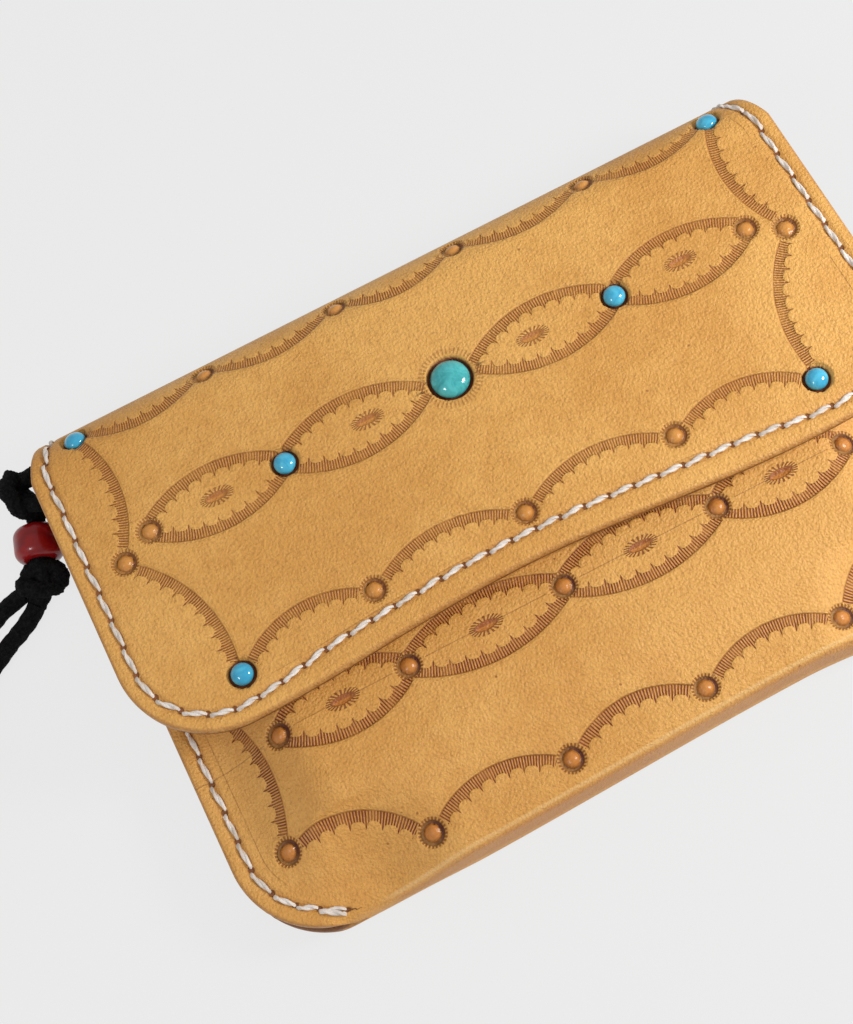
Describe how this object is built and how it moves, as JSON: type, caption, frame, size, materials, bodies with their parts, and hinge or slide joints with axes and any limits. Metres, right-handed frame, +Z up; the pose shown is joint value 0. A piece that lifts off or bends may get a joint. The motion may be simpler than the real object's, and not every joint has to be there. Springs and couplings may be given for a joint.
{
  "type": "trucker wallet",
  "caption": "Closed long leather wallet with a carved folded body, a carved snap flap set with turquoise stones, saddle-stitched sides and a beaded lace on a ring at one end.",
  "frame": {"origin": "middle of the wallet's footprint without its lace, on the surface it lies on", "axes": "+X along the wallet towards the end away from the lace, +Y towards the top fold, +Z up out of the flap"},
  "size_m": [0.2079, 0.1034, 0.0219],
  "materials": {
    "carved_leather": "satin, tooled and stained",
    "plain_leather": "smooth",
    "turquoise_green": "polished",
    "turquoise_blue": "polished",
    "nickel": "polished",
    "waxed_thread": "waxed",
    "black_suede": "napped",
    "red_glass": "polished, opaque"
  },
  "bodies": {
    "body": {"outer_shell": "carved_leather", "top_fold": "carved_leather", "fold_lining": "plain_leather", "divider_panel": "plain_leather", "card_pocket_lower": "plain_leather", "card_pocket_upper": "plain_leather", "left_seam_stitching": "waxed_thread", "right_seam_stitching": "waxed_thread", "left_seam_back_stitching": "waxed_thread", "right_seam_back_stitching": "waxed_thread", "snap_stud": "nickel", "eyelet": "nickel", "lace_ring": "nickel", "lace_hitch": "black_suede", "glass_bead": "red_glass", "lace_knot": "black_suede", "lace_tail_long": "black_suede", "lace_tail_short": "black_suede"},
    "flap": {"flap_outer": "carved_leather", "flap_lining": "plain_leather", "flap_stitching": "waxed_thread", "big_stone": "turquoise_green", "row_stone_left": "turquoise_blue", "row_stone_right": "turquoise_blue", "top_stone_left": "turquoise_blue", "top_stone_right": "turquoise_blue", "low_stone_left": "turquoise_blue", "low_stone_right": "turquoise_blue", "snap_socket": "nickel"}
  },
  "joints": [
    {"name": "flap_hinge", "type": "hinge", "parent": "body", "child": "flap", "pos_m": [0, 0.053, 0.0103], "axis": [-1, 0, 0], "range_deg": [0, 165], "deforming": ["top_fold", "fold_lining"]}
  ]
}
